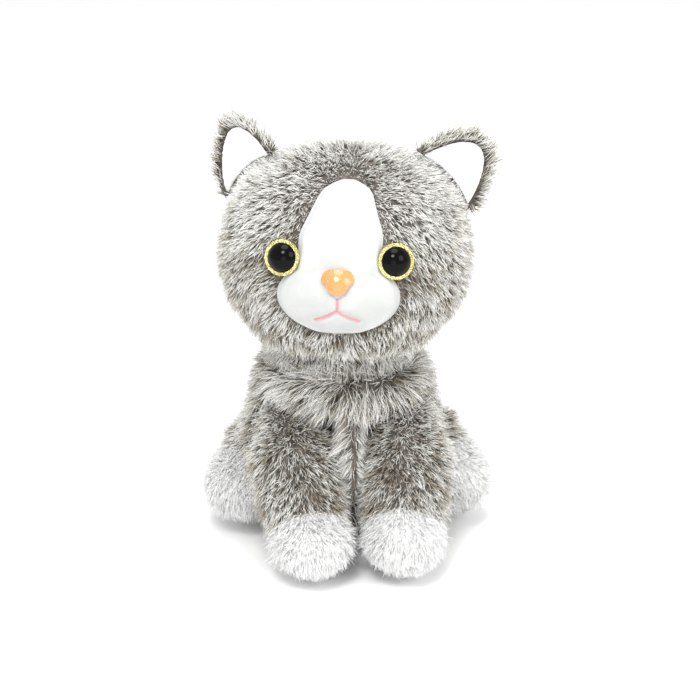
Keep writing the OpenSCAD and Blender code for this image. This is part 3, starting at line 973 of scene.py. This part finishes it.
for side, word in SIDES:
    body = f"{word}_front_leg"
    form = skin(body)
    shoulder = leaned(SHOULDER, side)

    def paw(p, side=side):
        return in_paw(p, side) < 1.0

    def leg_wanted(p, n, side=side, shoulder=shoulder):
        share = np.where(in_paw(p, side) < 0.98, 0, 1.0)
        from_top = np.linalg.norm(p - shoulder, axis=1)
        hidden = (from_top < 17) & ((p - shoulder) @ np.array([side * 0.75, -0.6, -0.15]) < -8)
        return np.where(hidden, 0, share)

    def paw_wanted(p, n, paw=paw):
        return white_share(p, n, paw(p))

    def paw_flow(p, n, side=side):
        out = p - leaned(PAW, side) - np.array([0, 12, 10])
        return unit(out) * np.array([0.6, 0.6, 0.4]) + np.array([0, -0.45, -0.6])

    cover(f"{body}_fabric", form, lambda p: ~paw(p), body, "grey_fur", f"{body}_cover")
    cover(f"{word}_paw_fabric", form, paw, body, "white_fur", f"{word}_front_paw_cover")
    stuffing(body)
    grow_fur(
        f"{body}_fur", form, body, "grey_fur", leg_wanted, leg_flow(side), DENSITY, LEG_LENGTH,
        seed=31 + side, pale=lambda p: -0.1,
    )
    grow_fur(
        f"{word}_paw_fur", form, body, "white_fur", paw_wanted, paw_flow, WHITE_DENSITY,
        WHITE_LENGTH, seed=41 + side, lay=WHITE_LAY,
    )

    body = f"{word}_hind_leg"
    form = skin(body)

    def foot(p, side=side):
        return in_foot(p, side) < 1.0

    def thigh_wanted(p, n, side=side):
        share = np.where(in_foot(p, side) < 0.98, 0, 1.0)
        inward = (p - leaned(HIP, side)) @ np.array([side, -0.1, -0.1]) < -4
        return np.where(inward, 0.0, share)

    def foot_wanted(p, n, foot=foot):
        return white_share(p, n, foot(p))

    def thigh_flow(p, n, side=side):
        return np.tile(np.array([side * 0.3, 0.35, -1.0]), (len(p), 1))

    def foot_flow(p, n, side=side):
        out = p - leaned(FOOT, side) - np.array([0, 10, 12])
        return unit(out) * 0.6 + np.array([side * 0.15, -0.4, -0.5])

    cover(
        f"{word}_thigh_fabric", form, lambda p: ~foot(p), body, "grey_fur", f"{word}_thigh_cover"
    )
    cover(f"{word}_foot_fabric", form, foot, body, "white_fur", f"{word}_foot_cover")
    stuffing(body)
    grow_fur(
        f"{word}_thigh_fur", form, body, "grey_fur", thigh_wanted, thigh_flow, DENSITY, LEG_LENGTH,
        seed=51 + side,
    )
    grow_fur(
        f"{word}_foot_fur", form, body, "white_fur", foot_wanted, foot_flow, WHITE_DENSITY,
        WHITE_LENGTH, seed=61 + side, lay=WHITE_LAY,
    )

# ---- Tail ----

tail_form = skin("tail")
cover("tail_fabric", tail_form, everywhere, "tail", "grey_fur", "tail_cover")
stuffing("tail")


def tail_wanted(p, n):
    underneath = (p[:, 2] < 5) & (n[:, 2] < -0.8)
    return np.where(p[:, 1] < TAIL[1] + 1, 0, 1.0) * np.where(underneath, 0.4, 1)


grow_fur(
    "tail_fur", tail_form, "tail", "grey_fur", tail_wanted,
    lambda p, n: np.tile(np.array([0, 1.0, 0.05]), (len(p), 1)), DENSITY, 8.0, seed=71,
)

# ---- Ears ----


def ear_matrix(side):
    root = Matrix.Translation((side * EAR_ROOT.x, EAR_ROOT.y, EAR_ROOT.z))
    return HEAD @ root @ rotation(y=side * EAR_LEAN[side]) @ rotation(z=side * EAR_TURN[side])


for side, word in SIDES:
    body = f"{word}_ear"
    m = ear_matrix(side)
    back = applied(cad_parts[f"{body}_back"].data.copy(), remesh(0.8), soften(4))
    lining = applied(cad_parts[f"{body}_lining"].data.copy(), remesh(0.6), soften(3))
    back.shade_smooth()
    lining.shade_smooth()
    piece(f"{body}_back_fabric", back, grey_backing_painted_shade, body, f"{body}_back")
    piece(f"{body}_lining_nap", lining, ear_nap, body, f"{body}_lining")

    def ear_wanted(p, n, m=m):
        # none on the lining's side but at the rim, where it is longest
        q, d = unplaced(p, m), turned(n, m.inverted())
        narrow = EAR_HALF_W * (1 - EAR_TAPER * np.clip(q[:, 2], 0, None) / EAR_H)
        r = np.hypot(q[:, 0] / narrow, q[:, 2] / EAR_H)
        front = d[:, 1] < -0.35
        return np.where(front & (r < 0.84), 0, np.where(r > 0.8, 1.1, 0.9))

    def ear_flow(p, n, m=m):
        q = unplaced(p, m)
        return turned(np.stack([q[:, 0] * 0.6, np.zeros(len(q)), q[:, 2] + 14], 1) / 30, m)

    grow_fur(
        f"{body}_fur", back, body, "grey_fur", ear_wanted, ear_flow, DENSITY * 1.2, 7.5,
        seed=81 + side, lay=60,
    )

# ---- Hard parts ----

dome = Nodes("eye_dome")
dome.set(
    Base_Color=dome.mix(dome.noise(120, 2), srgb(3, 3, 4), srgb(10, 9, 9)),
    Roughness=dome.rough(300, 3, 0.03, 0.09),
    Specular_IOR_Level=0.12,
)
dome.bump(dome.noise(80, 2), 0.05, 0.0002)

glitter = Nodes("eye_glitter")
flake = glitter.flakes(2600.0)
golds = [srgb(120, 104, 40), srgb(196, 184, 92), srgb(226, 220, 150), srgb(252, 250, 224)]
each_flake = glitter.add("SeparateXYZ", {"Vector": flake.outputs["Color"]}).outputs[0]
glitter.set(
    Base_Color=glitter.ramp(each_flake, list(zip((0.0, 0.4, 0.75, 1.0), golds))),
    Roughness=glitter.rough(900, 2, 0.2, 0.45),
    Metallic=0.55,
)
glitter.bump(flake.outputs["Distance"], 0.7, 0.0004)

peach = Nodes("nose_peach")
pebbles_and_painted_glints = peach.flakes(1100.0)
# painted highlights: pale specks on the cells of the nose's pebbled relief stand for its glints
peach.set(
    Base_Color=peach.mix(
        peach.range(pebbles_and_painted_glints.outputs["Distance"], 0.1, 0.22, 1.0, 0.0),
        peach.mix(peach.noise(200, 3), srgb(232, 138, 76), srgb(240, 154, 94)),
        srgb(252, 216, 184),
    ),
    Roughness=peach.rough(500, 2, 0.18, 0.35),
    Coat_Weight=0.5,
)
peach.bump(pebbles_and_painted_glints.outputs["Distance"], 0.15, 0.0003)

washer = Nodes("washer_plastic")
washer.set(
    Base_Color=washer.mix(washer.noise(200, 2), srgb(232, 232, 226), srgb(244, 243, 238)),
    Roughness=washer.rough(400, 2, 0.4, 0.55),
)
washer.bump(washer.noise(900, 2), 0.1, 0.0002)
grey_thread = fabric_material("grey_thread", (70, 66, 62), (104, 98, 92), 500, 3000)
pouch_cloth = fabric_material("pouch_cloth", (214, 212, 204), (232, 230, 224), 300, 2000)
pellet = fabric_material("pellets", (196, 196, 190), (226, 226, 222), 350, 420)

# the CAD meshes that are carried over as they are
FINISHES = {
    "left_eye": dome.m,
    "right_eye": dome.m,
    "left_eye_rim": glitter.m,
    "right_eye_rim": glitter.m,
    "nose": peach.m,
    "left_eye_washer": washer.m,
    "right_eye_washer": washer.m,
    "nose_washer": washer.m,
    "closing_stitches": grey_thread,
    "pellet_pouch": pouch_cloth,
    "pellet_fill": pellet,
}
for node, material in FINISHES.items():
    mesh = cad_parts[node].data
    mesh.materials.clear()
    mesh.materials.append(material)

for o in forms.values():
    bpy.data.objects.remove(o)

# ---- Floor, light and camera ----

FLOOR = 4  # half its width, in metres
white_floor = Nodes("floor")
white_floor.set(
    Base_Color=white_floor.mix(white_floor.noise(3, 2), srgb(252, 252, 252), srgb(255, 255, 255)),
    Roughness=white_floor.rough(40, 2, 0.7, 0.9),
)
corners = [(-FLOOR, -FLOOR, 0), (FLOOR, -FLOOR, 0), (FLOOR, FLOOR, 0), (-FLOOR, FLOOR, 0)]
floor_mesh = mesh_from("floor", corners, [[0, 1, 2, 3]])
floor_mesh.materials.append(white_floor.m)
floor = new_object("floor", floor_mesh)

world = bpy.data.worlds.new("studio")
world.use_nodes = True
sky = world.node_tree.nodes["Background"]
sky.inputs["Color"].default_value = (1, 1, 1, 1)
sky.inputs["Strength"].default_value = 0.8
scene.world = world


def area_light(name, at, size, watts):
    light = bpy.data.lights.new(name, "AREA")
    light.shape, light.size, light.energy = "DISK", size, watts
    o = bpy.data.objects.new(name, light)
    o.location = at
    o.rotation_euler = (LIT - Vector(at)).to_track_quat("-Z", "Y").to_euler()
    scene.collection.objects.link(o)


LIT = Vector((0, 0, 0.1))
area_light("key", (-0.3, -0.9, 1.3), 0.5, 12)
area_light("fill", (0.9, -0.8, 0.8), 0.8, 6)
area_light("low", (-0.2, -1.3, 0.25), 0.8, 2)
area_light("top", (0, 0.0, 1.5), 0.9, 9)

CAMERA_AZ, CAMERA_EL, CAMERA_FAR = math.radians(-4), math.radians(20), 0.9
CAMERA_AIM, CAMERA_ASIDE = Vector((-0.0053, -0.010, 0.095)), 0.0036
LENS_MM, SENSOR_MM = 102.9, 36
to_right = Vector((math.cos(CAMERA_AZ), math.sin(CAMERA_AZ), 0))
level_back = Vector((math.sin(CAMERA_AZ), -math.cos(CAMERA_AZ), 0))
back_way = level_back * math.cos(CAMERA_EL) + Vector((0, 0, math.sin(CAMERA_EL)))
cam = bpy.data.objects.new("camera", bpy.data.cameras.new("camera"))
scene.collection.objects.link(cam)
cam.location = CAMERA_AIM + to_right * CAMERA_ASIDE + back_way * CAMERA_FAR
cam.rotation_euler = (-back_way).to_track_quat("-Z", "Y").to_euler()
cam.data.sensor_width = SENSOR_MM
cam.data.lens = LENS_MM
cam.data.clip_start, cam.data.clip_end = 0.05, 20
cam.data.dof.use_dof = False
scene.camera = cam
scene.view_settings.view_transform = "Standard"
